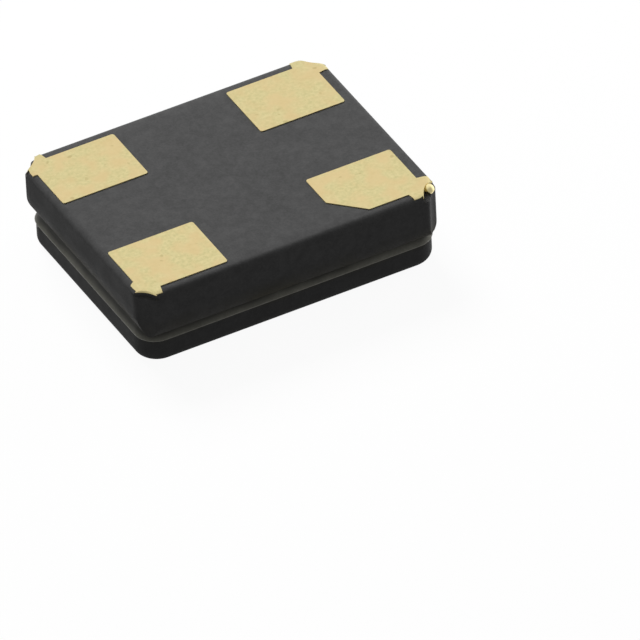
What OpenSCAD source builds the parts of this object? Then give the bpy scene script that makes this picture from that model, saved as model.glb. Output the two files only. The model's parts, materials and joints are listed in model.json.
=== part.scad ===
// Crystal oscillator in a glass-sealed black ceramic package, 3.2 x 2.5 mm, four corner terminals.
// The origin is the centre of the seating plane under the terminals. +X runs along the length,
// +Y across the width and +Z up through the lid. All sizes are in millimetres.

/* [Ceramic base] */
// Length of the base along X
body_l = 3.2; // [3.1:0.05:3.5]
// Width of the base along Y
body_w = 2.5; // [2.4:0.05:2.7]
// Thickness of the base from its underside to its rim
base_t = 0.52; // [0.48:0.01:0.6]
// Radius of the edges of the underside
edge_r = 0.07; // [0.04:0.01:0.1]
// Height of the curved shoulder below the rim, on both long sides
side_shoulder_h = 0.16; // [0.1:0.01:0.3]
// How far the shoulder draws in at the rim, on both long sides
side_shoulder_in = 0.07; // [0.04:0.005:0.09]
// Height of the shoulder at the +X end
high_shoulder_h = 0.29; // [0.1:0.01:0.3]
// How far the shoulder at the +X end draws in
high_shoulder_in = 0.085; // [0.04:0.005:0.09]
// Height of the shoulder at the -X end
low_shoulder_h = 0.13; // [0.1:0.01:0.3]
// How far the shoulder at the -X end draws in
low_shoulder_in = 0.055; // [0.04:0.005:0.09]
// Radius of the shallow groove down each corner
groove_r = 0.22; // [0.18:0.01:0.3]
// Distance from the corner to where the line of the groove crosses each side
groove_leg = 0.145; // [0.12:0.005:0.18]
// Radius that blends the groove into the sides
groove_blend = 0.07; // [0.04:0.01:0.1]

/* [Cavity] */
// Width of the sealing rim, measured from the side of the base
rim_w = 0.4; // [0.36:0.01:0.44]
// Radius of the corners of the cavity
cavity_r = 0.12; // [0.05:0.01:0.2]
// Thickness of the floor under the circuit
floor_t = 0.13; // [0.1:0.01:0.15]
// Height of the bond shelf above the floor
shelf_h = 0.11; // [0.09:0.01:0.13]
// Height of the crystal ledge above the floor
ledge_h = 0.21; // [0.2:0.01:0.24]
// Width of each bond shelf, measured from the cavity wall
shelf_w = 0.3; // [0.26:0.01:0.34]
// Length of the ledge that carries the crystal
ledge_l = 0.42; // [0.38:0.01:0.46]
// Length of the rest under the free end of the crystal
rest_l = 0.3; // [0.2:0.01:0.34]
// How far the rest lies below the crystal ledge
rest_drop = 0.01; // [0:0.005:0.02]

/* [Lid and glass seal] */
// How far the lid stands back from each end of the base
lid_back_x = 0.035; // [0.02:0.005:0.06]
// How far the lid stands back from each long side of the base
lid_back_y = 0.065; // [0.04:0.005:0.08]
// Offset of the lid and its glass from the centre of the base along X
lid_shift_x = -0.01; // [-0.02:0.005:0.02]
// Thickness of the lid
lid_t = 0.295; // [0.2:0.005:0.35]
// Radius of the upright corners of the lid
lid_corner_r = 0.24; // [0.16:0.01:0.3]
// Radius of the edges of the outer face of the lid
lid_edge_r = 0.1; // [0.04:0.01:0.12]
// Radius of the edges of the sealing face of the lid
lid_rim_r = 0.025; // [0.02:0.005:0.04]
// Thickness of the glass between rim and lid
seal_t = 0.055; // [0.04:0.005:0.08]
// Radius of the hollow that runs round the side of the glass
hollow_r = 0.05; // [0.045:0.001:0.06]
// How far the hollow's deepest line lies behind the side of the lid
hollow_in = 0.055; // [0.05:0.001:0.065]
// Height of the hollow's deepest line above the rim
hollow_rise = 0.012; // [0:0.001:0.02]
// How far the glass has crept into the cavity from the rim
seal_creep = 0.03; // [0:0.01:0.06]

/* [Terminals] */
// Length of each terminal pad along X
pad_l = 0.9; // [0.8:0.01:0.95]
// Width of each terminal pad along Y
pad_w = 0.7; // [0.6:0.01:0.75]
// Distance between pad centres along X
pitch_x = 2.1; // [2.05:0.01:2.14]
// Distance between pad centres along Y
pitch_y = 1.57; // [1.5:0.01:1.6]
// Offset of the printed pads from the centre along X
print_x = 0.035; // [-0.04:0.005:0.04]
// Offset of the printed pads from the centre along Y
print_y = -0.01; // [-0.03:0.005:0.03]
// Thickness of the plated metal
film_t = 0.01; // [0.008:0.001:0.015]
// Radius of the pad corners
pad_r = 0.025; // [0.01:0.005:0.05]
// Leg of the corner cut off pad 1
index_cut = 0.3; // [0.15:0.01:0.4]
// Length of pad edge taken by the tab that runs to the corner
tab_reach = 0.185; // [0.15:0.005:0.24]
// Slant of the shoulders of the tab
tab_slant = 0.02; // [0:0.005:0.05]
// How far a tab stops short of the side of the base
tab_back = 0.025; // [0.02:0.005:0.06]
// Height to which a tab follows the rounded edge of the base
tab_wrap = 0.022; // [0.018:0.001:0.05]
// Height of the plating in the corner groove of terminal 1
rise_1 = 0.065; // [0.03:0.005:0.2]
// Height of the plating in the corner groove of terminal 2
rise_2 = 0.045; // [0.03:0.005:0.2]
// Height of the plating in the corner groove of terminal 3
rise_3 = 0.06; // [0.03:0.005:0.2]
// Height of the plating in the corner groove of terminal 4
rise_4 = 0.055; // [0.03:0.005:0.2]

/* [Crystal] */
// Thickness of the quartz blank
blank_t = 0.06; // [0.04:0.005:0.08]
// Bevel along the ends of the blank
blank_bevel = 0.012; // [0.005:0.001:0.015]
// Gap between the cavity wall and the held end of the blank
blank_gap = 0.07; // [0.05:0.01:0.1]
// Gap between the cavity wall and the free end of the blank
blank_free = 0.23; // [0.1:0.01:0.26]
// Gap between the cavity wall and each side of the blank
blank_side = 0.2; // [0.1:0.01:0.26]
// Bare end of the blank beyond each electrode
electrode_end = 0.5; // [0.4:0.01:0.6]
// Bare side of the blank beside each electrode
electrode_side = 0.225; // [0.18:0.005:0.28]
// Thickness of the electrode metal
electrode_t = 0.005; // [0.004:0.001:0.008]
// Width of the tail that leads each electrode to the held end
tail_w = 0.3; // [0.2:0.01:0.34]
// Inset of the tails from the sides of the blank
tail_in = 0.08; // [0.02:0.01:0.1]
// Radius of the dots of conductive adhesive
dot_r = 0.12; // [0.08:0.01:0.14]
// Height of the dots of conductive adhesive
dot_h = 0.02; // [0.015:0.001:0.03]
// Length of the gold lands under the dots
crystal_land_l = 0.32; // [0.28:0.01:0.34]
// Width of the gold lands under the dots
crystal_land_w = 0.4; // [0.3:0.01:0.44]

/* [Circuit] */
// Gap between each end of the die and its pocket
die_end = 0.29; // [0.1:0.01:0.32]
// Gap between each side of the die and its pocket
die_side = 0.15; // [0.08:0.01:0.17]
// Thickness of the circuit die
die_t = 0.09; // [0.07:0.005:0.1]
// Thickness of the adhesive under the die
attach_t = 0.01; // [0.008:0.001:0.015]
// How far the adhesive stands out round the die
attach_over = 0.04; // [0.02:0.01:0.06]
// Number of bond wires on each side of the die
wires_per_side = 3;
// Distance from each end of the die to the nearest wire
wire_end = 0.2; // [0.12:0.01:0.24]
// Diameter of the bond wires
wire_d = 0.025; // [0.02:0.001:0.03]
// Radius of the ball at the die end of a wire
ball_r = 0.03; // [0.025:0.001:0.035]
// Height of the ball
ball_h = 0.015; // [0.012:0.001:0.018]
// Height of the upright neck of a wire above the die
neck_h = 0.045; // [0.035:0.001:0.05]
// Radius of the bend at the top of a wire
bend_r = 0.03; // [0.02:0.001:0.035]
// Length of the foot of a wire on its land
foot_l = 0.06; // [0.04:0.01:0.08]
// Inset of the ball from the edge of the die
ball_inset = 0.1; // [0.08:0.01:0.15]
// Length of each bond land along X
land_l = 0.18; // [0.12:0.01:0.22]
// Width of each bond land along Y
land_w = 0.22; // [0.16:0.01:0.24]
// Thickness of the printed gold inside the cavity
land_t = 0.01; // [0.008:0.001:0.015]

/* [Hidden] */
$fn = 48;
// Extra depth that takes a cut clear through a face
over = 0.1;

base_z = film_t;
rim_z = base_z + base_t;
// The groove's axis stands outside the corner by groove_out along X and along Y. The blends are
// centred groove_blend inside one side and groove_run from the corner along it.
groove_out = (sqrt(2 * groove_r * groove_r - groove_leg * groove_leg) - groove_leg) / 2;
groove_run = sqrt(pow(groove_r + groove_blend, 2) - pow(groove_out + groove_blend, 2)) - groove_out;
floor_z = base_z + floor_t;
shelf_z = floor_z + shelf_h;
ledge_z = floor_z + ledge_h;
rest_z = ledge_z - rest_drop;
cavity_l = body_l - 2 * rim_w;
cavity_w = body_w - 2 * rim_w;
pocket_l = cavity_l - ledge_l - rest_l;
pocket_w = cavity_w - 2 * shelf_w;
pocket_x = (ledge_l - rest_l) / 2;

lid_l = body_l - 2 * lid_back_x;
lid_w = body_w - 2 * lid_back_y;
lid_z = rim_z + seal_t;

dot_z = ledge_z + land_t;
electrode_z = dot_z + dot_h;
blank_z = electrode_z + electrode_t;
blank_l = cavity_l - blank_gap - blank_free;
blank_w = cavity_w - 2 * blank_side;
blank_end = -cavity_l / 2 + blank_gap;
blank_x = blank_end + blank_l / 2;
electrode_l = blank_l - 2 * electrode_end;
electrode_w = blank_w - 2 * electrode_side;
tail_y = blank_w / 2 - tail_in - tail_w / 2;
crystal_land_x = -cavity_l / 2 + ledge_l / 2;
dot_x = blank_end + dot_r + electrode_t;

die_z = floor_z + attach_t;
die_top = die_z + die_t;
die_l = pocket_l - 2 * die_end;
die_w = pocket_w - 2 * die_side;
wire_pitch = (die_l - 2 * wire_end) / (wires_per_side - 1);
land_y = cavity_w / 2 - shelf_w / 2;
land_top = shelf_z + land_t;
ball_y = die_w / 2 - ball_inset;

ceramic = [0.27, 0.27, 0.28];
lid_ceramic = [0.22, 0.22, 0.23];
seal_glass = [0.32, 0.31, 0.22];
gold = [0.86, 0.78, 0.55];
silver = [0.75, 0.75, 0.76];
quartz = [0.85, 0.9, 0.92];
silicon = [0.4, 0.42, 0.5];

// Upright section, $span wide and centred, from height 0 to t, with its low and high corners rounded
module rounded_section(t, low_r, high_r) {
    translate([-$span / 2, low_r]) square([$span, t - low_r - high_r]);
    translate([-$span / 2 + low_r, 0]) square([$span - 2 * low_r, t / 2]);
    translate([-$span / 2 + high_r, t / 2]) square([$span - 2 * high_r, t / 2]);
    for (side = [-1, 1]) {
        translate([side * ($span / 2 - low_r), low_r]) circle(low_r);
        translate([side * ($span / 2 - high_r), t - high_r]) circle(high_r);
    }
}

// Plate with upright corners of one radius, centred, swept from a section that is drawn $span wide
module swept_plate(l, w, corner_r, t) {
    rotate([90, 0, 0])
        linear_extrude(w - 2 * corner_r, center = true) let ($span = l) children();
    rotate([90, 0, 90])
        linear_extrude(l - 2 * corner_r, center = true) let ($span = w) children();
    for (x = [-1, 1], y = [-1, 1])
        translate([x * (l / 2 - corner_r), y * (w / 2 - corner_r), 0])
            rotate_extrude()
                intersection() {
                    let ($span = 2 * corner_r) children();
                    square([corner_r, t]);
                }
}

// Flat rectangle, centred, with rounded corners
module rounded_rectangle(l, w, r) {
    square([l, w - 2 * r], center = true);
    square([l - 2 * r, w], center = true);
    for (x = [-1, 1], y = [-1, 1])
        translate([x * (l / 2 - r), y * (w / 2 - r)]) circle(r);
}

// Half of a section across the base, from its axis out to reach: a rounded underside edge and a
// shoulder that draws in below the rim. Grown by the film thickness, it is the outer surface of
// the plated metal.
module base_half_section(reach, shoulder_h, shoulder_in, grow) {
    side = reach + grow;
    low_r = edge_r + grow;
    low_z = base_z - grow;
    shoulder_z = rim_z - shoulder_h;
    shoulder_r = (shoulder_h * shoulder_h + shoulder_in * shoulder_in) / (2 * shoulder_in);
    translate([0, low_z]) square([side - low_r, low_r]);
    translate([side - low_r, low_z + low_r]) circle(low_r);
    translate([0, low_z + low_r]) square([side, shoulder_z - low_z - low_r]);
    intersection() {
        translate([0, shoulder_z]) square([side, shoulder_h]);
        union() {
            square([side - shoulder_r, rim_z]);
            translate([side - shoulder_r, shoulder_z]) circle(shoulder_r);
        }
    }
}

// Plan of the base: a rectangle with a shallow groove at each corner, blended into the sides
module base_plan(grow) {
    side_x = body_l / 2 + grow;
    side_y = body_w / 2 + grow;
    difference() {
        square([2 * side_x, 2 * side_y], center = true);
        for (x = [-1, 1], y = [-1, 1])
            translate([x * side_x, y * side_y])
                square(2 * (groove_run + grow), center = true);
    }
    for (x = [0, 1], y = [0, 1])
        mirror([x, 0])
            mirror([0, y])
                translate([body_l / 2, body_w / 2]) {
                    translate([-groove_blend, -groove_run]) circle(groove_blend + grow);
                    translate([-groove_run, -groove_blend]) circle(groove_blend + grow);
                    difference() {
                        polygon([[-groove_run, -groove_run], [-groove_blend, -groove_run],
                                 [groove_out, groove_out], [-groove_run, -groove_blend]]);
                        translate([groove_out, groove_out]) circle(groove_r - grow);
                    }
                }
}

// Outer form of the base with its corner grooves, before the cavity is sunk
module base_form(grow = 0) {
    intersection() {
        linear_extrude(rim_z) base_plan(grow);
        rotate([90, 0, 0])
            linear_extrude(body_w + 2 * over, center = true) {
                base_half_section(body_l / 2, high_shoulder_h, high_shoulder_in, grow);
                mirror([1, 0]) base_half_section(body_l / 2, low_shoulder_h, low_shoulder_in, grow);
            }
        rotate([90, 0, 90])
            linear_extrude(body_l + 2 * over, center = true)
                for (side = [0, 1])
                    mirror([side, 0])
                        base_half_section(body_w / 2, side_shoulder_h, side_shoulder_in, grow);
    }
}

// Stepped cavity: die pocket, bond shelves beside it, crystal ledge and rest at its ends
module cavity() {
    translate([0, 0, ledge_z])
        linear_extrude(rim_z - ledge_z + over) rounded_rectangle(cavity_l, cavity_w, cavity_r);
    translate([cavity_l / 2 - rest_l, -cavity_w / 2 + cavity_r, rest_z])
        cube([rest_l, cavity_w - 2 * cavity_r, ledge_z - rest_z + over]);
    translate([pocket_x - pocket_l / 2, -cavity_w / 2, shelf_z])
        cube([pocket_l, cavity_w, ledge_z - shelf_z + over]);
    translate([pocket_x, 0, floor_z])
        linear_extrude(shelf_z - floor_z + over)
            rounded_rectangle(pocket_l, pocket_w, cavity_r);
}

module ceramic_base() {
    color(ceramic)
        difference() {
            base_form();
            cavity();
        }
}

module ceramic_lid() {
    color(lid_ceramic)
        translate([lid_shift_x, 0, lid_z])
            swept_plate(lid_l, lid_w, lid_corner_r, lid_t) rounded_section(lid_t, lid_rim_r, lid_edge_r);
}

// Section across the glass, $span wide, with a hollow along each side
module seal_section() {
    difference() {
        translate([-$span / 2, 0]) square([$span, seal_t]);
        for (side = [-1, 1])
            translate([side * ($span / 2 - hollow_in + hollow_r), hollow_rise]) circle(hollow_r);
    }
}

// Frit glass between rim and lid. Surface tension has drawn its side hollow, and it has crept a
// little way into the cavity.
module glass_seal() {
    color(seal_glass)
        translate([0, 0, rim_z])
            difference() {
                translate([lid_shift_x, 0, 0])
                    swept_plate(lid_l, lid_w, lid_corner_r, seal_t) seal_section();
                translate([0, 0, -over])
                    linear_extrude(seal_t + 2 * over)
                        rounded_rectangle(cavity_l - 2 * seal_creep, cavity_w - 2 * seal_creep, cavity_r);
            }
}

// Flat outline of a pad and the tab that runs from its outer corner to the corner of the base.
// The outline is drawn for the corner at +X and +Y, with the pad centre at [cx, cy].
module terminal_outline(cx, cy, cut) {
    px = cx + pad_l / 2;
    py = cy + pad_w / 2;
    tx = body_l / 2 - tab_back;
    ty = body_w / 2 - tab_back;
    difference() {
        translate([cx, cy]) rounded_rectangle(pad_l, pad_w, pad_r);
        if (cut)
            polygon([[px - pad_l - over, py + over],
                     [px - pad_l + index_cut + over, py + over],
                     [px - pad_l - over, py - index_cut - over]]);
    }
    polygon([[cx, cy],
             [px - tab_reach, py], [px - tab_reach + tab_slant, ty], [tx, ty],
             [tx, py - tab_reach + tab_slant], [px, py - tab_reach]]);
}

// Plated metal of one terminal: it lies on the underside, follows the rounded edges of the base
// under its tab and climbs the wall of the corner groove
module terminal(side_x, side_y, rise, cut = false) {
    color(gold)
        difference() {
            intersection() {
                base_form(film_t);
                mirror([side_x < 0 ? 1 : 0, 0, 0])
                    mirror([0, side_y < 0 ? 1 : 0, 0]) {
                        linear_extrude(tab_wrap)
                            terminal_outline(pitch_x / 2 + side_x * print_x,
                                             pitch_y / 2 + side_y * print_y, cut);
                        linear_extrude(rise)
                            translate([body_l / 2 + groove_out, body_w / 2 + groove_out])
                                circle(groove_r);
                    }
            }
            base_form();
        }
}

module terminal_1() { terminal(-1, -1, rise_1, cut = true); }
module terminal_2() { terminal(1, -1, rise_2); }
module terminal_3() { terminal(1, 1, rise_3); }
module terminal_4() { terminal(-1, 1, rise_4); }

module quartz_blank() {
    high = blank_z + blank_t;
    color(quartz)
        rotate([90, 0, 0])
            linear_extrude(blank_w, center = true)
                translate([blank_end, 0])
                    polygon([[0, blank_z + blank_bevel], [blank_bevel, blank_z],
                             [blank_l - blank_bevel, blank_z], [blank_l, blank_z + blank_bevel],
                             [blank_l, high - blank_bevel], [blank_l - blank_bevel, high],
                             [blank_bevel, high], [0, high - blank_bevel]]);
}

// Flat electrode with the tail that leads it to the held end of the blank, on one side of the axis
module electrode_outline(side) {
    translate([blank_x, 0]) rounded_rectangle(electrode_l, electrode_w, tail_w / 2);
    translate([blank_end + blank_bevel, side * tail_y - tail_w / 2])
        square([blank_x - blank_end - electrode_l / 4, tail_w]);
}

// The upper electrode folds round the end of the blank to reach its dot of adhesive
module upper_electrode() {
    high = blank_z + blank_t;
    reach = blank_bevel + 2 * dot_r;
    color(silver) {
        translate([0, 0, high]) linear_extrude(electrode_t) electrode_outline(1);
        translate([0, tail_y, 0])
            rotate([90, 0, 0])
                linear_extrude(tail_w, center = true)
                    translate([blank_end, 0])
                        polygon([[-electrode_t, blank_z + blank_bevel],
                                 [blank_bevel - electrode_t / 2, electrode_z],
                                 [reach, electrode_z], [reach, blank_z], [blank_bevel, blank_z],
                                 [0, blank_z + blank_bevel], [0, high - blank_bevel],
                                 [blank_bevel, high], [blank_bevel, high + electrode_t],
                                 [blank_bevel - electrode_t / 2, high + electrode_t],
                                 [-electrode_t, high - blank_bevel]]);
    }
}

module lower_electrode() {
    color(silver)
        translate([0, 0, electrode_z]) linear_extrude(electrode_t) electrode_outline(-1);
}

module crystal_land(side) {
    color(gold)
        translate([crystal_land_x, side * tail_y, ledge_z])
            linear_extrude(land_t) rounded_rectangle(crystal_land_l, crystal_land_w, pad_r);
}

module crystal_land_1() { crystal_land(-1); }
module crystal_land_2() { crystal_land(1); }

// Dot of silver-filled adhesive, pressed flat between land and electrode
module adhesive_dot(side) {
    color(silver)
        translate([dot_x, side * tail_y, dot_z])
            intersection() {
                translate([0, 0, dot_h / 2]) sphere(dot_r);
                cylinder(r = 2 * dot_r, h = dot_h);
            }
}

module adhesive_dot_1() { adhesive_dot(-1); }
module adhesive_dot_2() { adhesive_dot(1); }

module oscillator_die() {
    color(silicon)
        translate([pocket_x - die_l / 2, -die_w / 2, die_z]) cube([die_l, die_w, die_t]);
}

module die_attach() {
    color(silver)
        translate([pocket_x, 0, floor_z])
            linear_extrude(attach_t)
                rounded_rectangle(die_l + 2 * attach_over, die_w + 2 * attach_over, 2 * attach_over);
}

// Lands and wires are numbered along X on the +Y side first, then on the -Y side
function wire_side(i) = i <= wires_per_side ? 1 : -1;
function wire_x(i) = pocket_x + ((i - 1) % wires_per_side - (wires_per_side - 1) / 2) * wire_pitch;

module bond_land(i) {
    color(gold)
        translate([wire_x(i), wire_side(i) * land_y, shelf_z])
            linear_extrude(land_t) rounded_rectangle(land_l, land_w, pad_r);
}

module bond_land_1() { bond_land(1); }
module bond_land_2() { bond_land(2); }
module bond_land_3() { bond_land(3); }
module bond_land_4() { bond_land(4); }
module bond_land_5() { bond_land(5); }
module bond_land_6() { bond_land(6); }

// Bond wire: ball on the die, upright neck, bend, straight run down to the land and a flat foot.
// The run leaves the bend on the line from the foot that touches the bend's circle.
module bond_wire(i) {
    wire_r = wire_d / 2;
    foot_y = land_y - foot_l / 2;
    foot_z = land_top + wire_r / 2;
    bend_y = ball_y + bend_r;
    bend_z = die_top + neck_h;
    span = norm([foot_y - bend_y, foot_z - bend_z]);
    fall = asin(bend_r / span) - atan2(foot_z - bend_z, foot_y - bend_y);
    run = sqrt(span * span - bend_r * bend_r);
    color(gold)
        translate([wire_x(i), 0, 0])
            rotate([0, 0, wire_side(i) > 0 ? 0 : 180])
                difference() {
                    union() {
                        translate([0, ball_y, die_top]) cylinder(r = ball_r, h = ball_h);
                        translate([0, ball_y, die_top]) cylinder(r = wire_r, h = neck_h);
                        translate([0, bend_y, bend_z])
                            rotate([90, 0, 90])
                                rotate([0, 0, 90 - fall])
                                    rotate_extrude(angle = 90 + fall)
                                        translate([bend_r, 0]) circle(wire_r);
                        translate([0, foot_y, foot_z])
                            rotate([90 - fall, 0, 0]) cylinder(r = wire_r, h = run);
                        translate([0, foot_y, foot_z]) sphere(wire_r);
                        translate([0, foot_y, foot_z])
                            rotate([-90, 0, 0]) cylinder(r = wire_r, h = foot_l);
                    }
                    translate([-over, land_y - land_w / 2, land_top - over])
                        cube([2 * over, land_w, over]);
                }
}

module bond_wire_1() { bond_wire(1); }
module bond_wire_2() { bond_wire(2); }
module bond_wire_3() { bond_wire(3); }
module bond_wire_4() { bond_wire(4); }
module bond_wire_5() { bond_wire(5); }
module bond_wire_6() { bond_wire(6); }

ceramic_base();
glass_seal();
ceramic_lid();
terminal_1();
terminal_2();
terminal_3();
terminal_4();
quartz_blank();
upper_electrode();
lower_electrode();
crystal_land_1();
crystal_land_2();
adhesive_dot_1();
adhesive_dot_2();
oscillator_die();
die_attach();
bond_land_1();
bond_land_2();
bond_land_3();
bond_land_4();
bond_land_5();
bond_land_6();
bond_wire_1();
bond_wire_2();
bond_wire_3();
bond_wire_4();
bond_wire_5();
bond_wire_6();
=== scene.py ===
"""Crystal oscillator in a glass-sealed black ceramic package with four gold-plated corner terminals.

The part keeps its own frame: terminals down on z = 0, lid up, +X along the long side. The main
camera looks up at its underside with the terminals towards the top of the picture, as when the part
lies on its lid, so the stage has two one-sided sheets: one under the terminals, which shows from
above, and one against the outer face of the lid, which shows from below.
"""

import json
import logging
import math
from collections.abc import Callable
from dataclasses import dataclass, field
from enum import Enum
from typing import Any, ClassVar

import bpy
from mathutils import Matrix, Vector


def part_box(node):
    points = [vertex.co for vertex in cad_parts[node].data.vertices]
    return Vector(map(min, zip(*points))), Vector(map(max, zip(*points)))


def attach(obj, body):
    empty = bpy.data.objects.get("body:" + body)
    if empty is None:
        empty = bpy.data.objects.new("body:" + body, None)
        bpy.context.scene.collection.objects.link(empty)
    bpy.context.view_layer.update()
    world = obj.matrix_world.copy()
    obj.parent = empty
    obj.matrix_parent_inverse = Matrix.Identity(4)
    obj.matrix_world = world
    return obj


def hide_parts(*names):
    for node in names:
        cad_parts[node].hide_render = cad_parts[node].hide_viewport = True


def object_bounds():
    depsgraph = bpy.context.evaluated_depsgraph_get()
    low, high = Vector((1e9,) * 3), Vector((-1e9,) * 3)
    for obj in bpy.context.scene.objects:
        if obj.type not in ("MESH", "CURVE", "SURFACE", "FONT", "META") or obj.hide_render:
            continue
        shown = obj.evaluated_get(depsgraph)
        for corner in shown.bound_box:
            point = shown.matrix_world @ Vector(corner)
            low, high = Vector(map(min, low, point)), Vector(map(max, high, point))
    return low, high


LOG = logging.getLogger("crystal_oscillator")

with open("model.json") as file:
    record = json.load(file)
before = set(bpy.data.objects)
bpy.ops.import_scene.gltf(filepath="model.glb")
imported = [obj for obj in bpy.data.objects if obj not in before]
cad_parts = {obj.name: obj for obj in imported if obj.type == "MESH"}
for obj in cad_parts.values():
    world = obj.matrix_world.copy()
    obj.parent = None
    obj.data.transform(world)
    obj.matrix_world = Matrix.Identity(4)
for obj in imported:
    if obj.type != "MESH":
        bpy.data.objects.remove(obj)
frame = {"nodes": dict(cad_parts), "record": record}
CAD_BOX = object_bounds()

MM = 0.001  # metres in a millimetre
CUT_REACH = 0.001 * MM  # how near to a cutting plane a vertex counts as on it
WELD_REACH = 0.001 * MM  # how near two vertices of a copied mesh are when they are one
NOISE_SPAN = (0.3, 0.7)  # where nearly all values of the noise lie


def linear(code: str) -> tuple[float, float, float, float]:
    """Turns an sRGB hex colour into the linear values that the shaders work in.

    Args:
        code: Six hex digits, with or without a leading #.

    Returns:
        Red, green, blue and an alpha of 1.
    """
    parts = [int(code.lstrip("#")[i : i + 2], 16) / 255 for i in (0, 2, 4)]
    lin = [c / 12.92 if c <= 0.04045 else ((c + 0.055) / 1.055) ** 2.4 for c in parts]
    return (lin[0], lin[1], lin[2], 1.0)


def per_metre(size_mm: float) -> float:
    """Texture scale at which one feature of a pattern is size_mm across."""
    return 1.0 / (size_mm * MM)


def find_socket(sockets: Any, key: str | int) -> Any:
    """Finds a socket by its index, identifier or name.

    Args:
        sockets: A node's inputs or outputs.
        key: The index, identifier or name.

    Returns:
        The socket.
    """
    if isinstance(key, int):
        return sockets[key]
    for socket in sockets:
        if socket.identifier == key:
            return socket
    return sockets[key]


def add_node(
    tree: bpy.types.NodeTree,
    kind: str,
    settings: dict[str, Any] | None = None,
    inputs: dict[str | int, Any] | None = None,
    output: str | int = 0,
) -> Any:
    """Adds a node with its settings, values and links.

    Args:
        tree: The node tree that takes the node.
        kind: The node's type name.
        settings: Properties of the node itself.
        inputs: A value, or the output socket to link, for each input.
        output: The output to return.

    Returns:
        The chosen output socket, or the node itself where it has none.
    """
    node = tree.nodes.new(kind)
    for name, value in (settings or {}).items():
        setattr(node, name, value)
    for key, value in (inputs or {}).items():
        socket = find_socket(node.inputs, key)
        if isinstance(value, bpy.types.NodeSocket):
            tree.links.new(value, socket)
        else:
            socket.default_value = value
    return find_socket(node.outputs, output) if len(node.outputs) else node


def mix_colour(tree: bpy.types.NodeTree, factor: Any, low: Any, high: Any) -> Any:
    """Mixes two colours.

    Args:
        tree: The node tree.
        factor: Share of the second colour, a value or a socket.
        low: Colour at factor 0.
        high: Colour at factor 1.

    Returns:
        The mixed colour's socket.
    """
    return add_node(
        tree,
        "ShaderNodeMix",
        {"data_type": "RGBA"},
        {"Factor_Float": factor, "A_Color": low, "B_Color": high},
        "Result_Color",
    )


def spread(
    tree: bpy.types.NodeTree, value: Any, low: float, high: float, to_low: float, to_high: float
) -> Any:
    """Maps a value from one span to another, held at its ends.

    Args:
        tree: The node tree.
        value: The socket to map.
        low: Value that becomes to_low.
        high: Value that becomes to_high.
        to_low: Result at low.
        to_high: Result at high.

    Returns:
        The mapped value's socket.
    """
    return add_node(
        tree,
        "ShaderNodeMapRange",
        {"clamp": True},
        {"Value": value, "From Min": low, "From Max": high, "To Min": to_low, "To Max": to_high},
    )


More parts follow.
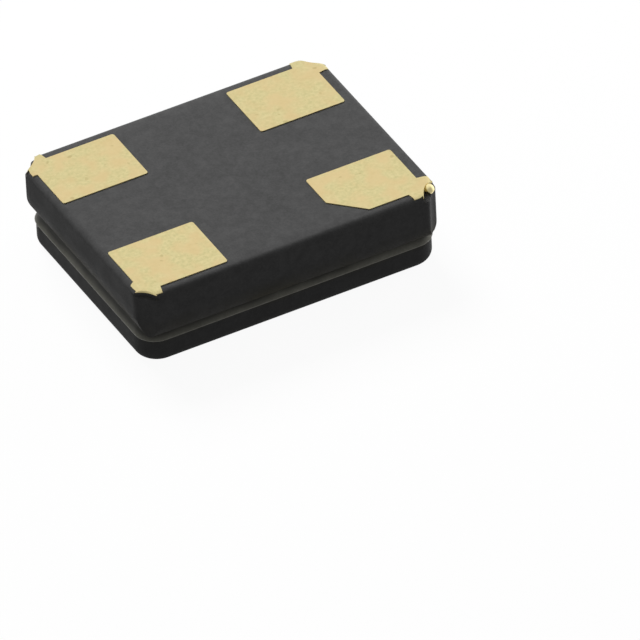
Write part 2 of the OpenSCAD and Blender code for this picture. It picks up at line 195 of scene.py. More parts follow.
@dataclass(frozen=True)
class Finish:
    """Common part of every finish: a named material with a Principled shader."""

    name: str
    dark: str
    light: str
    roughness: float = 0.6
    # Size of the grain, size of the broad patches and depth of the grain. The real grain of fired and
    # plated surfaces is about 0.003 mm, and it is drawn several times coarser so that it shows.
    grain_mm: float = 0.02
    patch_mm: float = 0.3
    depth_mm: float = 0.0008
    metallic: ClassVar[float] = 0.0
    ior: ClassVar[float] = 1.5
    specular: ClassVar[float] = 0.5
    grain_share: ClassVar[float] = 0.55  # share of the grain in the tint, where patches have the rest
    gloss_swing: ClassVar[float] = 0.06  # how far the roughness wanders to each side of its mean
    octave_gain: ClassVar[float] = 0.55  # strength of each octave of the noise against the last

    def build(self) -> bpy.types.Material:
        """Makes the material.

        Returns:
            The new material.
        """
        material = bpy.data.materials.new(self.name)
        material.use_nodes = True
        tree = material.node_tree
        tree.nodes.clear()
        shader = add_node(
            tree,
            "ShaderNodeBsdfPrincipled",
            None,
            {
                "Metallic": self.metallic,
                "IOR": self.ior,
                "Specular IOR Level": self.specular,
                "Roughness": self.roughness,
            },
        )
        node = shader.node
        coords = add_node(tree, "ShaderNodeTexCoord", None, None, "Object")
        tree.links.new(self.colour(tree, coords), node.inputs["Base Color"])
        tree.links.new(self.gloss(tree, coords), node.inputs["Roughness"])
        tree.links.new(self.relief(tree, coords), node.inputs["Normal"])
        self.extras(tree, node, coords)
        add_node(tree, "ShaderNodeOutputMaterial", None, {"Surface": shader})
        return material

    def noise(self, tree: bpy.types.NodeTree, coords: Any, size_mm: float, detail: float = 2.0) -> Any:
        """Fractal noise with features size_mm across.

        Args:
            tree: The node tree.
            coords: Object coordinates.
            size_mm: Size of the largest feature.
            detail: Octaves of finer noise.

        Returns:
            The noise value's socket, about 0.3 to 0.7.
        """
        return add_node(
            tree,
            "ShaderNodeTexNoise",
            None,
            {
                "Vector": coords,
                "Scale": per_metre(size_mm),
                "Detail": detail,
                "Roughness": self.octave_gain,
            },
        )

    def colour(self, tree: bpy.types.NodeTree, coords: Any) -> Any:
        """Fine grain over broad, faint patches.

        Args:
            tree: The material's node tree.
            coords: Object coordinates.

        Returns:
            The colour's socket.
        """
        grain = spread(tree, self.noise(tree, coords, self.grain_mm), *NOISE_SPAN, 0.0, 1.0)
        patch = spread(tree, self.noise(tree, coords, self.patch_mm), *NOISE_SPAN, 0.0, 1.0)
        total: Any = 0.0
        for part, share in ((grain, self.grain_share), (patch, 1.0 - self.grain_share)):
            terms = {0: part, 1: share, 2: total}
            total = add_node(tree, "ShaderNodeMath", {"operation": "MULTIPLY_ADD"}, terms)
        return mix_colour(tree, total, linear(self.dark), linear(self.light))

    def gloss(self, tree: bpy.types.NodeTree, coords: Any) -> Any:
        """Roughness that wanders a little about its mean.

        Args:
            tree: The material's node tree.
            coords: Object coordinates.

        Returns:
            The roughness's socket.
        """
        noise = self.noise(tree, coords, self.patch_mm / 2)
        smooth, rough = self.roughness - self.gloss_swing, self.roughness + self.gloss_swing
        return spread(tree, noise, *NOISE_SPAN, smooth, rough)

    def relief(self, tree: bpy.types.NodeTree, coords: Any) -> Any:
        """Bump of the surface's grain.

        Args:
            tree: The material's node tree.
            coords: Object coordinates.

        Returns:
            The bumped normal's socket.
        """
        height = self.noise(tree, coords, self.grain_mm, detail=3.0)
        return add_node(
            tree,
            "ShaderNodeBump",
            None,
            {"Strength": 1.0, "Distance": self.depth_mm * MM, "Height": height},
        )

    def extras(self, tree: bpy.types.NodeTree, shader: bpy.types.Node, coords: Any) -> None:
        """Anything that one finish has and the others don't."""


@dataclass(frozen=True)
class FiredCeramic(Finish):
    """Black alumina ceramic, tape-cast, pressed and fired: matte, with a fine sandy grain and cloudy
    mottling. Its faces roll off a little towards their edges, and frit has stained it near the seal."""

    half_size: tuple[float, float] = (1.6, 1.25)  # half the length and width in mm
    roll_mm: float = 0.14  # width of the band along each edge that rolls off
    roll_slope: float = 0.18  # slope that the band reaches at the edge
    stain: str = "#403d31"
    stain_span: tuple[float, float] = (0.3, 0.5)  # heights in mm between which the stain sets in
    stain_mm: float = 0.5  # size of the stain's patches
    stain_noise: tuple[float, float] = (0.4, 0.65)  # values of the noise between and in its patches
    stain_share: tuple[float, float] = (0.15, 0.75)  # share of the stain between and in its patches
    cloud_mm: float = 0.09
    cloud_noise: tuple[float, float] = (0.35, 0.65)  # values of the noise in dark and bright clouds
    cloud_swing: float = 0.07  # how much darker or lighter than the mean a cloud is
    specular: ClassVar[float] = 0.03

    def colour(self, tree: bpy.types.NodeTree, coords: Any) -> Any:
        """Grain and clouds, with patches of olive frit stain towards the seal.

        Args:
            tree: The material's node tree.
            coords: Object coordinates.

        Returns:
            The colour's socket.
        """
        plain = super().colour(tree, coords)
        dim, bright = 1.0 - self.cloud_swing, 1.0 + self.cloud_swing
        clouds = self.noise(tree, coords, self.cloud_mm, detail=3.0)
        cloud = spread(tree, clouds, *self.cloud_noise, dim, bright)
        scaled = {"Vector": plain, "Scale": cloud}
        clouded = add_node(tree, "ShaderNodeVectorMath", {"operation": "SCALE"}, scaled)
        height = add_node(tree, "ShaderNodeSeparateXYZ", None, {"Vector": coords}, "Z")
        near = spread(tree, height, self.stain_span[0] * MM, self.stain_span[1] * MM, 0.0, 1.0)
        patches = self.noise(tree, coords, self.stain_mm, detail=1.0)
        patch = spread(tree, patches, *self.stain_noise, *self.stain_share)
        share = add_node(tree, "ShaderNodeMath", {"operation": "MULTIPLY"}, {0: near, 1: patch})
        return mix_colour(tree, share, clouded, linear(self.stain))

    def relief(self, tree: bpy.types.NodeTree, coords: Any) -> Any:
        """Sandy grain on a face that rolls off towards its edges.

        Args:
            tree: The material's node tree.
            coords: Object coordinates.

        Returns:
            The bumped normal's socket.
        """
        drop: Any = 0.0
        place = add_node(tree, "ShaderNodeSeparateXYZ", None, {"Vector": coords}).node
        for axis, half in zip(("X", "Y"), self.half_size):
            inner = (half - self.roll_mm) * MM
            away = add_node(tree, "ShaderNodeMath", {"operation": "ABSOLUTE"}, {0: place.outputs[axis]})
            less = {"operation": "SUBTRACT", "use_clamp": True}
            past = add_node(tree, "ShaderNodeMath", less, {0: away, 1: inner})
            squared = {0: past, 1: past, 2: drop}
            drop = add_node(tree, "ShaderNodeMath", {"operation": "MULTIPLY_ADD"}, squared)
        rolled = add_node(
            tree,
            "ShaderNodeBump",
            None,
            {"Strength": 1.0, "Distance": -self.roll_slope / (2 * self.roll_mm * MM), "Height": drop},
        )
        height = self.noise(tree, coords, self.grain_mm, detail=3.0)
        return add_node(
            tree,
            "ShaderNodeBump",
            None,
            {"Strength": 1.0, "Distance": self.depth_mm * MM, "Height": height, "Normal": rolled},
        )


@dataclass(frozen=True)
class FritGlass(Finish):
    """Sealing frit, melted once: an opaque olive glass with a satin skin. It is dark in the joint. Its
    colour is painted paler up towards the lip on the lid, as a painted highlight where the glass meets
    the lid's rim."""

    deep: str = "#454540"
    pale_span: tuple[float, float] = (0.55, 0.606)  # heights in mm between which the painted highlight sets in
    wave_mm: float = 0.35  # length of the waves in those heights
    wave_height_mm: float = 0.012
    ior: ClassVar[float] = 1.6
    specular: ClassVar[float] = 0.1

    def colour(self, tree: bpy.types.NodeTree, coords: Any) -> Any:
        """Dark glass in the joint, painted paler with height as a painted highlight on the lip.

        Args:
            tree: The material's node tree.
            coords: Object coordinates.

        Returns:
            The colour's socket.
        """
        # The grained colour is the paler glass of the painted highlight on the lip.
        pale = super().colour(tree, coords)
        height = add_node(tree, "ShaderNodeSeparateXYZ", None, {"Vector": coords}, "Z")
        rise = self.wave_height_mm * MM
        waves = self.noise(tree, coords, self.wave_mm, detail=1.0)
        wave = spread(tree, waves, *NOISE_SPAN, -rise, rise)
        level = add_node(tree, "ShaderNodeMath", {"operation": "ADD"}, {0: height, 1: wave})
        share = spread(tree, level, self.pale_span[0] * MM, self.pale_span[1] * MM, 0.0, 1.0)
        return mix_colour(tree, share, linear(self.deep), pale)


@dataclass(frozen=True)
class PlatedGold(Finish):
    """Electroplated gold over printed and fired tungsten: it takes over the print's rough grain, which
    makes it pale, matte and speckled in slightly different tints. Where it turns down into the grooves
    its colour is painted duller, as painted shade."""

    speckle_noise: tuple[float, float] = (0.32, 0.68)  # values of the noise in dark and light specks
    rosy: str = "#e6d09d"
    rosy_noise: tuple[float, float] = (0.4, 0.62)  # values of the noise outside and in rosy patches
    rosy_share: float = 0.8
    # Colour of the nicks, and of the painted shade where the plating turns down into the grooves.
    dull: str = "#a8955a"
    dull_share: float = 0.75
    turn_span: tuple[float, float] = (0.012, 0.045)  # heights in mm between which the painted shade on the turned-down plating sets in
    nick_mm: float = 0.1
    nick_noise: tuple[float, float] = (0.7, 0.76)  # values of the noise outside and in the nicks
    nick_share: float = 0.3
    metallic: ClassVar[float] = 1.0

    def colour(self, tree: bpy.types.NodeTree, coords: Any) -> Any:
        """Speckled gold with rosy patches and a few nicks, with painted shade past the edge of the
        underside.

        Args:
            tree: The material's node tree.
            coords: Object coordinates.

        Returns:
            The colour's socket.
        """
        grain = self.noise(tree, coords, self.grain_mm, detail=3.0)
        speckle = spread(tree, grain, *self.speckle_noise, 0.0, 1.0)
        gold = mix_colour(tree, speckle, linear(self.dark), linear(self.light))
        patches = self.noise(tree, coords, self.patch_mm, detail=1.0)
        patch = spread(tree, patches, *self.rosy_noise, 0.0, self.rosy_share)
        tinted = mix_colour(tree, patch, gold, linear(self.rosy))
        peaks = self.noise(tree, coords, self.nick_mm, detail=1.0)
        nicks = spread(tree, peaks, *self.nick_noise, 0.0, self.nick_share)
        nicked = mix_colour(tree, nicks, tinted, linear(self.dull))
        # Painted shade on the plating where it turns down into the grooves.
        height = add_node(tree, "ShaderNodeSeparateXYZ", None, {"Vector": coords}, "Z")
        low, high = (edge * MM for edge in self.turn_span)
        turned_shade = spread(tree, height, low, high, 0.0, self.dull_share)
        return mix_colour(tree, turned_shade, nicked, linear(self.dull))


@dataclass(frozen=True)
class BrightMetal(Finish):
    """Bare metal that was drawn or evaporated: smooth, with a clear shine."""

    metallic: ClassVar[float] = 1.0


@dataclass(frozen=True)
class FilledAdhesive(Finish):
    """Epoxy filled with silver flakes: dull grey with glinting specks."""


@dataclass(frozen=True)
class EtchedQuartz(Finish):
    """Synthetic quartz, lapped and etched: clear, with a faint frost."""

    ior: ClassVar[float] = 1.54
    clearness: ClassVar[float] = 0.85  # share of the light that goes through

    def extras(self, tree: bpy.types.NodeTree, shader: bpy.types.Node, coords: Any) -> None:
        """Lets most of the light through."""
        shader.inputs["Transmission Weight"].default_value = self.clearness


@dataclass(frozen=True)
class PolishedSilicon(Finish):
    """Silicon die with its circuit side up: glossy blue-grey, in blocks of slightly different tint."""

    block_mm: float = 0.16
    block_shift: float = 0.6  # how far the blocks stray from a square grid, where 1 is at random
    ior: ClassVar[float] = 1.8

    def colour(self, tree: bpy.types.NodeTree, coords: Any) -> Any:
        """Rectangular circuit blocks, each with its own tint.

        Args:
            tree: The material's node tree.
            coords: Object coordinates.

        Returns:
            The colour's socket.
        """
        cells = add_node(
            tree,
            "ShaderNodeTexVoronoi",
            {"distance": "CHEBYCHEV"},
            {
                "Vector": coords,
                "Scale": per_metre(self.block_mm),
                "Randomness": self.block_shift,
            },
            "Color",
        )
        value = add_node(tree, "ShaderNodeSeparateColor", None, {"Color": cells}, "Red")
        return mix_colour(tree, value, linear(self.dark), linear(self.light))


class Finishes(Enum):
    """The finishes of this part: one for each material slot of the record, and the bead's."""

    BASE_CERAMIC = FiredCeramic("black alumina ceramic base", "#464646", "#525252", 0.62)
    LID_CERAMIC = FiredCeramic(
        "black alumina ceramic lid",
        "#3f3f3f",
        "#484848",
        0.62,
        half_size=(1.575, 1.185),
        stain_span=(0.66, 0.59),
    )
    # Its two grain colours are the paler glass of the painted highlight on the lip.
    SEAL_GLASS = FritGlass("olive-grey sealing glass", "#73726a", "#87867d", 0.4, 0.03, 0.3)
    GOLD_PLATING = PlatedGold("matte gold plating on tungsten", "#d5cb96", "#e6d9a4", 0.5, 0.035, 0.22)
    # The bead's lower roughness is its own gloss. Its lighter gold colours are a painted highlight.
    GOLD_BEAD = PlatedGold(
        "gold bead with painted highlight", "#f0dfa0", "#fbeeb8", 0.24, 0.035, 0.17, dull_share=0.0
    )
    GOLD_WIRE = BrightMetal("drawn gold wire", "#e2b458", "#efc873", 0.22)
    QUARTZ = EtchedQuartz("etched quartz", "#e6ecef", "#f2f6f8", 0.12, 0.05, 0.3, 0.0003)
    ELECTRODE_SILVER = BrightMetal("evaporated silver", "#d6d6d8", "#e4e4e5", 0.24)
    SILVER_ADHESIVE = FilledAdhesive("silver-filled adhesive", "#8f8f92", "#c4c4c6", 0.5)
    SILICON = PolishedSilicon("polished silicon die", "#3e4656", "#596378", 0.18)


def slot_of(node: str) -> str:
    """Material slot that the record gives to a CAD node."""
    return next(s["material_slot"] for s in frame["record"]["subparts"] if s["node"] == node)


def edit_mode(piece: bpy.types.Object) -> None:
    """Makes a piece the only selected one and opens it for editing.

    Args:
        piece: The piece.
    """
    bpy.ops.object.select_all(action="DESELECT")
    bpy.context.view_layer.objects.active = piece
    piece.select_set(True)
    bpy.ops.object.mode_set(mode="EDIT")


def select_where(piece: bpy.types.Object, kind: str, test: Callable[[Any], bool]) -> None:
    """Selects the elements of a piece, open for editing, that pass a test.

    Args:
        piece: The piece.
        kind: VERT, EDGE or FACE.
        test: Says whether an element is selected.
    """
    bpy.ops.mesh.select_mode(type=kind)
    bpy.ops.mesh.select_all(action="DESELECT")
    bpy.ops.object.mode_set(mode="OBJECT")
    mesh = piece.data
    for element in {"VERT": mesh.vertices, "EDGE": mesh.edges, "FACE": mesh.polygons}[kind]:
        element.select = test(element)
    bpy.ops.object.mode_set(mode="EDIT")


def close_smooth(piece: bpy.types.Object, degrees: float = 35.0) -> None:
    """Turns a piece's faces outwards, ends its editing and shades it smooth up to an angle.

    Args:
        piece: The piece, open for editing.
        degrees: Angle from which an edge stays sharp.
    """
    bpy.ops.mesh.select_all(action="SELECT")
    bpy.ops.mesh.normals_make_consistent(inside=False)
    bpy.ops.object.mode_set(mode="OBJECT")
    bpy.ops.object.shade_smooth_by_angle(angle=math.radians(degrees))
    LOG.info("%s has %d faces", piece.name, len(piece.data.polygons))


@dataclass
class GlassSeal:
    """Ring of sealing glass. It wets the rim of the base and has run out over the rounded edge of the
    lid, where it ends in a thin, slightly uneven lip."""

    corner_mm: float = 0.24
    corner_steps: int = 10
    inset_mm: float = 0.025  # how far inside the lid's outline the ring is started
    width_mm: float = 0.34
    lip_mm: float = 0.032  # how far the lip rises past the lid's lower rim
    pitch_mm: float = 0.06  # length of the pieces that the straight runs are cut into
    # How far the side wanders, over what length, and in which part of the glass's height
    wander_mm: float = 0.012
    flow_mm: float = 0.25
    flow_span: tuple[float, float] = (0.1, 0.55)
    # Share of half the length and of half the width past which an open edge is on the outline
    outline_share: tuple[float, float] = (0.88, 0.84)
    # Loops round the glass, in the order in which they are raised: how far each lies inside the lid's
    # outline, and its share of the way from the rim of the base to the top of the lip
    profile: tuple[tuple[float, float], ...] = (
        (0.0085, 0.67),
        (0.0012, 0.79),
        (-0.0002, 0.9),
        (-0.0014, 1.0),
        (-0.0042, 0.87),
        (0.003, 0.72),
        (0.015, 0.5),
        (0.031, 0.25),
        (0.046, 0.0),
    )

    def build(self) -> bpy.types.Object:
        """Models the ring.

        Returns:
            The ring, which stands for the glass of the CAD.
        """
        low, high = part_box("glass_seal")
        lid_low, lid_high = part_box("ceramic_lid")
        centre = (lid_low + lid_high) / 2
        half = Vector(((lid_high.x - lid_low.x) / 2, (lid_high.y - lid_low.y) / 2))
        lip = high.z + self.lip_mm * MM
        bpy.ops.object.select_all(action="DESELECT")
        bpy.ops.mesh.primitive_plane_add(size=2.0, location=(centre.x, centre.y, high.z))
        ring = bpy.context.object
        ring.name = "seal_glass_ring"
        bpy.ops.object.transform_apply(location=True, rotation=True, scale=True)
        edit_mode(ring)
        bpy.ops.mesh.select_all(action="SELECT")
        inset = self.inset_mm * MM
        self.resize((half.x - inset, half.y - inset), (1.0, 1.0), centre)
        offset = self.corner_mm * MM - inset
        bpy.ops.mesh.bevel(offset=offset, segments=self.corner_steps, affect="VERTICES")
        bpy.ops.mesh.inset(thickness=self.width_mm * MM, use_boundary=True)
        bpy.ops.mesh.delete(type="FACE")
        select_where(ring, "EDGE", lambda edge: self.outside(ring, edge, centre, half))
        before = (half.x - inset, half.y - inset)
        height = high.z
        for off, share in self.profile:
            after = (half.x - off * MM, half.y - off * MM)
            height = self.raise_loop(height, low.z + (lip - low.z) * share)
            self.resize(after, before, centre)
            before = after
        inner = (half.x - inset - self.width_mm * MM, half.y - inset - self.width_mm * MM)
        self.raise_loop(height, height)
        self.resize(inner, before, centre)
        select_where(ring, "EDGE", lambda edge: self.is_open(ring, edge))
        bpy.ops.mesh.bridge_edge_loops()
        self.divide(centre, half)
        self.unevenness(ring, low.z, lip)
        edit_mode(ring)
        close_smooth(ring)
        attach(ring, "root")
        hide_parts("glass_seal")
        return ring

    @staticmethod
    def resize(after: tuple[float, float], before: tuple[float, float], centre: Vector) -> None:
        """Scales what is selected from one half size to another about the seal's centre."""
        value = (after[0] / before[0], after[1] / before[1], 1.0)
        bpy.ops.transform.resize(value=value, center_override=(centre.x, centre.y, 0.0))

    @staticmethod
    def raise_loop(height: float, to: float) -> float:
        """Extrudes the selected loop from one height to another, and returns the new height."""
        bpy.ops.mesh.extrude_region_move(TRANSFORM_OT_translate={"value": (0.0, 0.0, to - height)})
        return to

    @staticmethod
    def is_open(ring: bpy.types.Object, edge: Any) -> bool:
        """Says whether an edge has one face only."""
        return sum(edge.key in face.edge_keys for face in ring.data.polygons) == 1

    def outside(self, ring: bpy.types.Object, edge: Any, centre: Vector, half: Vector) -> bool:
        """Says whether an edge is open and lies on the ring's outline.

        Args:
            ring: The ring.
            edge: The edge.
            centre: The seal's centre.
            half: Half the lid's length and width.

        Returns:
            True where it does.
        """
        points = [ring.data.vertices[i].co - centre for i in edge.vertices]
        reach = (half.x * self.outline_share[0], half.y * self.outline_share[1])
        far = all(abs(point.x) > reach[0] or abs(point.y) > reach[1] for point in points)
        return far and self.is_open(ring, edge)

    def divide(self, centre: Vector, half: Vector) -> None:
        """Cuts the straight runs of the ring, open for editing, into short lengths.

        Args:
            centre: The seal's centre.
            half: Half the lid's length and width.
        """
        pitch = self.pitch_mm * MM
        for axis, normal in ((0, (1, 0, 0)), (1, (0, 1, 0))):
            reach = half[axis] - self.corner_mm * MM
            steps = round(2 * reach / pitch)
            for step in range(steps + 1):
                place = list(centre)
                place[axis] += -reach + 2 * reach * step / steps
                bpy.ops.mesh.select_all(action="SELECT")
                bpy.ops.mesh.bisect(plane_co=place, plane_no=normal, threshold=CUT_REACH)

    def unevenness(self, ring: bpy.types.Object, low: float, high: float) -> None:
        """Lets the side of the glass wander, as it does where frit has flowed.

        Args:
            ring: The ring.
            low: Height of the rim of the base.
            high: Height of the glass lip on the lid.
        """
        bpy.ops.object.mode_set(mode="OBJECT")
        side = ring.vertex_groups.new(name="side")
        span = high - low
        bottom, top = (low + share * span for share in self.flow_span)
        rows = [vertex.index for vertex in ring.data.vertices if bottom < vertex.co.z < top]
        side.add(rows, 1.0, "REPLACE")
        clouds = bpy.data.textures.new("flow of the frit", "CLOUDS")
        clouds.noise_scale = self.flow_mm * MM
        wave = ring.modifiers.new("flow", "DISPLACE")
        wave.texture = clouds
        wave.strength = self.wander_mm * MM
        wave.mid_level = 0.5
        wave.vertex_group = "side"
        bpy.ops.object.modifier_apply(modifier=wave.name)


@dataclass
class GroovedPiece:
    """Piece of the source in which the grooves go further in through the bottom layer of the ceramic,
    under a narrow ledge of the next layer."""

    node: str
    name: str
    # Side along X, side along Y and extra depth in mm of the groove of each corner that it reaches
    corners: tuple[tuple[int, int, float], ...]
    full_mm: float = 0.14  # distance from the corner up to which a point moves by the whole depth
    end_mm: float = 0.232  # distance from the corner from which nothing moves
    ledge_mm: tuple[float, float] = (0.07, 0.08)  # heights of the ledge at the wall and at its lip
    top_mm: float = 1.0  # height at which the piece is cut off, as set here past the whole part

    def build(self) -> bpy.types.Object:
        """Models the piece.

        Returns:
            The piece, which stands for the one of the source.
        """
        piece = bpy.data.objects.new(self.name, frame["nodes"][self.node].data.copy())
        bpy.context.scene.collection.objects.link(piece)
        edit_mode(piece)
        bpy.ops.mesh.customdata_custom_splitnormals_clear()
        bpy.ops.mesh.select_all(action="SELECT")
        bpy.ops.mesh.remove_doubles(threshold=WELD_REACH)
        self.part_off()
        bpy.ops.object.mode_set(mode="OBJECT")
        for side_x, side_y, depth_mm in self.corners:
            self.deepen(piece, (side_x, side_y), depth_mm)
        edit_mode(piece)
        self.cut_top()
        close_smooth(piece, degrees=30.0)
        flats = piece.modifiers.new("flats stay flat", "WEIGHTED_NORMAL")
        flats.keep_sharp = True
        bpy.ops.object.modifier_apply(modifier=flats.name)
        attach(piece, "root")
        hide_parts(self.node)
        return piece

    def cut_top(self) -> None:
        """Cuts off what lies above top_mm, with the piece open for editing, and closes the cut."""
        bpy.ops.mesh.select_all(action="SELECT")
        bpy.ops.mesh.bisect(
            plane_co=(0.0, 0.0, self.top_mm * MM),
            plane_no=(0, 0, 1),
            clear_outer=True,
            use_fill=True,
            threshold=CUT_REACH,
        )

    def part_off(self) -> None:
        """Cuts the piece, open for editing, near its corners and at the ledge, so that what lies
        past them keeps its form when a groove moves."""
        low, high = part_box("ceramic_base")
        end = self.end_mm * MM
        planes = [(0, low.x + end), (0, high.x - end), (1, low.y + end), (1, high.y - end)]
        for axis, at in planes + [(2, height * MM) for height in self.ledge_mm]:
            normal = [float(axis == other) for other in range(3)]
            bpy.ops.mesh.select_all(action="SELECT")
            place = [at * part for part in normal]
            bpy.ops.mesh.bisect(plane_co=place, plane_no=normal, threshold=CUT_REACH)

    def deepen(self, piece: bpy.types.Object, sides: tuple[int, int], depth_mm: float) -> None:
        """Moves the wall of one groove straight away from its corner.

        Args:
            piece: The piece.
            sides: Side along X and side along Y of the corner.
            depth_mm: How far the wall moves.
        """
        low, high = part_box("ceramic_base")
        corner = [high[axis] if side > 0 else low[axis] for axis, side in enumerate(sides)]
        names = ("along X", "along Y")
        groups = [piece.vertex_groups.new(name=name) for name in names]
        for vertex in piece.data.vertices:
            inwards = Vector([(corner[axis] - vertex.co[axis]) * sides[axis] for axis in (0, 1)])
            share = (self.end_mm * MM - inwards.length) / ((self.end_mm - self.full_mm) * MM)
            if share > 0.0 and vertex.co.z < sum(self.ledge_mm) / 2 * MM:
                for group, part in zip(groups, inwards.normalized()):  # its parts along X and Y
                    group.add([vertex.index], min(share, 1.0) * part, "REPLACE")
        for name, axis, side in zip(names, "XY", sides):
            push = piece.modifiers.new(name, "DISPLACE")
            push.direction = axis
            push.mid_level = 0.0
            push.strength = -side * depth_mm * MM
            push.vertex_group = name
            bpy.ops.object.modifier_apply(modifier=push.name)
        piece.vertex_groups.clear()


@dataclass
class PlatedBead:
    """Bead of gold that has gathered where the plating turns down into a corner groove."""

    name: str
    place_mm: tuple[float, float, float]
    radius_mm: float = 0.054
    height_mm: float = 0.056
    segments: int = 24
    rings: int = 16
    # Share of the height past which the drop narrows, and the share of its width that is left there
    tapers: tuple[tuple[float, float], ...] = ((0.1, 0.9), (0.4, 0.8), (0.7, 0.75))

    def build(self) -> bpy.types.Object:
        """Models the bead: a drop drawn out along the groove, with a narrow tail.

        Returns:
            The bead.
        """
        bpy.ops.object.select_all(action="DESELECT")
        spot = Vector(self.place_mm) * MM
        bpy.ops.mesh.primitive_uv_sphere_add(
            segments=self.segments, ring_count=self.rings, radius=self.radius_mm * MM, location=spot
        )
        bead = bpy.context.object
        bead.name = self.name
        bpy.ops.object.transform_apply(location=True, rotation=True, scale=True)
        edit_mode(bead)
        bpy.ops.mesh.select_all(action="SELECT")
        stretch = self.height_mm / self.radius_mm
        bpy.ops.transform.resize(value=(1.0, 1.0, stretch), center_override=spot)
        for share, taper in self.tapers:
            line = spot.z + share * self.height_mm * MM
            select_where(bead, "VERT", lambda vertex, line=line: vertex.co.z > line)
            bpy.ops.transform.resize(value=(taper, taper, 1.0), center_override=spot)
        close_smooth(bead, degrees=60.0)
        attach(bead, "root")
        return bead


@dataclass
class Package:
    """The ceramic package as seen from outside, and its hidden parts."""

    seal: GlassSeal = field(default_factory=GlassSeal)
    grooved: tuple[GroovedPiece, ...] = (
        GroovedPiece(
            "ceramic_base",
            "grooved_base",
            ((-1, -1, 0.07), (1, -1, 0.028), (1, 1, 0.05), (-1, 1, 0.065)),
        ),
        GroovedPiece("terminal_1", "grooved_terminal_1", ((-1, -1, 0.07),), top_mm=0.05),
        GroovedPiece("terminal_2", "grooved_terminal_2", ((1, -1, 0.028),), top_mm=0.024),
        GroovedPiece("terminal_3", "grooved_terminal_3", ((1, 1, 0.05),)),
        GroovedPiece("terminal_4", "grooved_terminal_4", ((-1, 1, 0.065),)),
    )
    bead: PlatedBead = field(
        default_factory=lambda: PlatedBead("plated_bead_1", (-1.513, -1.112, 0.056))
    )

    def build(self) -> None:
        """Models the pieces that the source leaves plain, then finishes everything."""
        grooved = [(piece.build(), slot_of(piece.node)) for piece in self.grooved]
        self.dress([(self.seal.build(), "seal_glass"), (self.bead.build(), "gold_bead"), *grooved])

    def dress(self, modelled: list[tuple[bpy.types.Object, str]]) -> None:
        """Gives every piece the finish of its material slot.

        Args:
            modelled: The new pieces, each with the name of its finish.
        """
        made: dict[str, bpy.types.Material] = {}
        for piece, slot in [(p, slot_of(n)) for n, p in frame["nodes"].items()] + modelled:
            if slot not in made:
                made[slot] = Finishes[slot.upper()].value.build()
            piece.data.materials.clear()
            piece.data.materials.append(made[slot])
            LOG.info("%s is finished in %s", piece.name, made[slot].name)


@dataclass
class Sheet:
    """One-sided pale sheet of the stage, which only the camera sees."""

    name: str
    height: float
    faces_up: bool
    half_size: float = 150 * MM
    shadow: float = 0.05  # share of plain paper, which takes the part's shadow, in the glowing white
    colour: str = "#fefefe"

    def build(self) -> bpy.types.Object:
        """Makes the sheet.

        Returns:
            The sheet's object.
        """
        bpy.ops.object.select_all(action="DESELECT")
        bpy.ops.mesh.primitive_plane_add(size=2 * self.half_size, location=(0, 0, self.height))
        sheet = bpy.context.object
        sheet.name = self.name
        bpy.ops.object.mode_set(mode="EDIT")
        if not self.faces_up:
            bpy.ops.mesh.flip_normals()
        bpy.ops.object.mode_set(mode="OBJECT")
        bpy.ops.object.transform_apply(location=True, rotation=True, scale=True)
        sheet.data.materials.append(self.material())
        return sheet

    def material(self) -> bpy.types.Material:
        """Pale paper that glows most of the way to white, so the object's shadow stays faint.

        Returns:
            The sheet's material.
        """
        material = bpy.data.materials.new(f"{self.name} paper")
        material.use_nodes = True
        tree = material.node_tree
        tree.nodes.clear()
        white = linear(self.colour)
        glow = add_node(tree, "ShaderNodeEmission", None, {"Color": white, "Strength": 1.0})
        paper = add_node(tree, "ShaderNodeBsdfDiffuse", None, {"Color": white})
        clear = add_node(tree, "ShaderNodeBsdfTransparent")
        pale = add_node(tree, "ShaderNodeMixShader", None, {0: self.shadow, 1: glow, 2: paper})
        back = add_node(tree, "ShaderNodeNewGeometry", None, None, "Backfacing")
        front = add_node(tree, "ShaderNodeMath", {"operation": "SUBTRACT"}, {0: 1.0, 1: back})
        camera = add_node(tree, "ShaderNodeLightPath", None, None, "Is Camera Ray")
        seen = add_node(tree, "ShaderNodeMath", {"operation": "MULTIPLY"}, {0: front, 1: camera})
        out = add_node(tree, "ShaderNodeMixShader", None, {0: seen, 1: clear, 2: pale})
        add_node(tree, "ShaderNodeOutputMaterial", None, {"Surface": out})
        return material


def sees_background(tree: bpy.types.NodeTree) -> Any:
    """Is 1 for rays that show the background: from the camera, or by way of gloss or clear material.

    Args:
        tree: The node tree.

    Returns:
        The value's socket.
    """
    path = add_node(tree, "ShaderNodeLightPath").node
    either = add_node(
        tree,
        "ShaderNodeMath",
        {"operation": "MAXIMUM"},
        {0: path.outputs["Is Camera Ray"], 1: path.outputs["Is Glossy Ray"]},
    )
    return add_node(
        tree,
        "ShaderNodeMath",
        {"operation": "MAXIMUM"},
        {0: either, 1: path.outputs["Is Transmission Ray"]},
    )


@dataclass
class Lamp:
    """Square soft box that points at the part. Level 1 lights a facing surface to its own colour."""

    name: str
    direction: tuple[float, float, float]
    level: float
    distance: float = 60 * MM
    size: float = 28 * MM

    def build(self) -> None:
        """Makes the lamp."""
        data = bpy.data.lights.new(self.name, "AREA")
        data.shape = "SQUARE"
        data.size = self.size
        data.energy = self.level * math.pi**2 * self.distance**2
        lamp = bpy.data.objects.new(self.name, data)
        bpy.context.scene.collection.objects.link(lamp)
        towards = Vector(self.direction).normalized()
        lamp.location = towards * self.distance
        lamp.rotation_mode = "QUATERNION"
        lamp.rotation_quaternion = (-towards).to_track_quat("-Z", "Y")
        lamp.visible_glossy = False


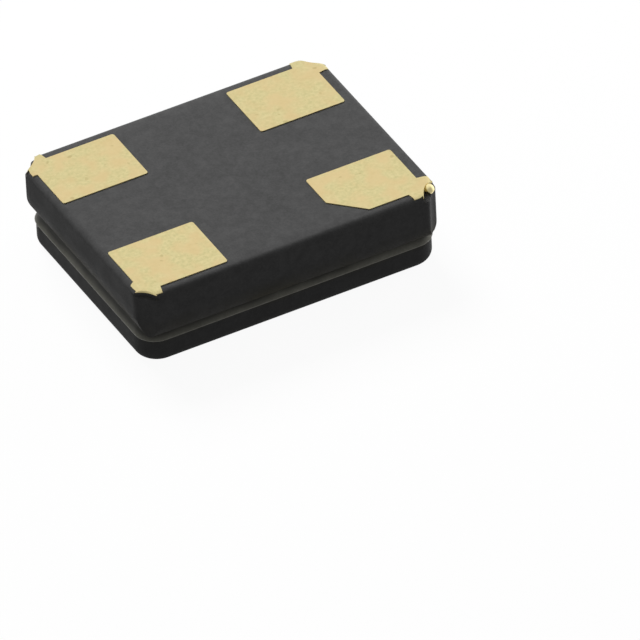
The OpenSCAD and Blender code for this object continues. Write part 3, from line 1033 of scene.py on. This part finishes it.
@dataclass
class Studio:
    """Sheets, lamps, world and camera."""

    part_height: float
    sheet_gap: float = 0.002 * MM  # between the part and each sheet
    # Direction of the key and side lamps above the part, mirrored below it, and their levels
    key_towards: tuple[float, float, float] = (0.0, 0.72, 0.7)
    key_level_above: float = 0.75
    key_level_below: float = 1.25
    side_towards: tuple[float, float, float] = (-1.0, 0.15, 0.3)
    side_level: float = 0.36
    ambient: float = 0.23
    # What shiny surfaces mirror: how much of the white is left at the front, what a window adds at
    # -X, and the directions between which each sets in
    dim: float = 0.45
    dim_span: tuple[float, float] = (-0.7, 0.3)
    window: float = 0.5
    window_span: tuple[float, float] = (-0.95, -0.5)
    lens: float = 1000.0
    sensor: float = 36.0  # width of the sensor, in the unit of the lens
    clip_ratio: float = 100.0  # of the camera's distance to its near clip, and of its far clip to it
    view_width: float = 5.9837 * MM
    # Directions of the camera: to its right, up its picture, and from the part back to it
    right: tuple[float, float, float] = (-0.87738, -0.47807, 0.04014)
    up: tuple[float, float, float] = (-0.32378, 0.52834, -0.78484)
    back: tuple[float, float, float] = (0.35401, -0.70161, -0.61836)
    # Place of the part's origin in the picture, from its middle, in parts of its width
    origin_right: float = -0.14134375
    origin_up: float = 0.22725

    def build(self) -> None:
        """Builds the whole stage."""
        self.sheets()
        self.lamps()
        self.world()
        self.camera()

    def sheets(self) -> None:
        """Lays one sheet under the terminals and one against the lid."""
        Sheet("floor_under_terminals", -self.sheet_gap, faces_up=True).build()
        Sheet("floor_under_lid", self.part_height + self.sheet_gap, faces_up=False).build()

    def lamps(self) -> None:
        """Hangs a pair of lamps above the part and a pair below it, where the stronger key is."""
        for side, sign, key_level in (
            ("above", 1.0, self.key_level_above),
            ("below", -1.0, self.key_level_below),
        ):
            for name, (x, y, z), level in (
                ("key", self.key_towards, key_level),
                ("right", self.side_towards, self.side_level),
            ):
                Lamp(f"{name}_{side}", (x, y, sign * z), level).build()

    def world(self) -> None:
        """White where the background shows, and a low even light elsewhere."""
        world = bpy.data.worlds.new("studio")
        bpy.context.scene.world = world
        world.use_nodes = True
        tree = world.node_tree
        tree.nodes.clear()
        shown = sees_background(tree)
        glossy = add_node(tree, "ShaderNodeLightPath", None, None, "Is Glossy Ray")
        towards = add_node(tree, "ShaderNodeTexCoord", None, None, "Generated")
        place = add_node(tree, "ShaderNodeSeparateXYZ", None, {"Vector": towards}).node
        behind = spread(tree, place.outputs["Y"], *self.dim_span, self.dim, 1.0)
        window = spread(tree, place.outputs["X"], *self.window_span, self.window, 0.0)
        mirrored = add_node(tree, "ShaderNodeMath", {"operation": "ADD"}, {0: behind, 1: window})
        white = add_node(tree, "ShaderNodeMix", None, {"Factor": glossy, "A": 1.0, "B": mirrored})
        levels = {"Factor": shown, "A": self.ambient, "B": white}
        strength = add_node(tree, "ShaderNodeMix", None, levels)
        glow = {"Color": linear("#ffffff"), "Strength": strength}
        light = add_node(tree, "ShaderNodeBackground", None, glow)
        add_node(tree, "ShaderNodeOutputWorld", None, {"Surface": light})

    def camera(self) -> None:
        """Sets up the long-lensed camera that looks up at the underside."""
        data = bpy.data.cameras.new("camera")
        data.sensor_width = self.sensor
        data.lens = self.lens
        distance = self.view_width * self.lens / self.sensor
        data.clip_start = distance / self.clip_ratio
        data.clip_end = distance * self.clip_ratio
        camera = bpy.data.objects.new("camera", data)
        bpy.context.scene.collection.objects.link(camera)
        right, up, back = (Vector(v).normalized() for v in (self.right, self.up, self.back))
        aim = -(right * self.origin_right + up * self.origin_up) * self.view_width
        turn = Matrix((right, up, back)).transposed().to_4x4()
        camera.matrix_world = Matrix.Translation(aim + back * distance) @ turn
        bpy.context.scene.camera = camera


def main() -> None:
    """Dresses the part and builds its studio."""
    logging.basicConfig(level=logging.INFO, format="%(name)s: %(message)s")
    bpy.context.scene.view_settings.view_transform = "Standard"
    Package().build()
    Studio(part_height=CAD_BOX[1].z).build()


if __name__ == "__main__":
    main()
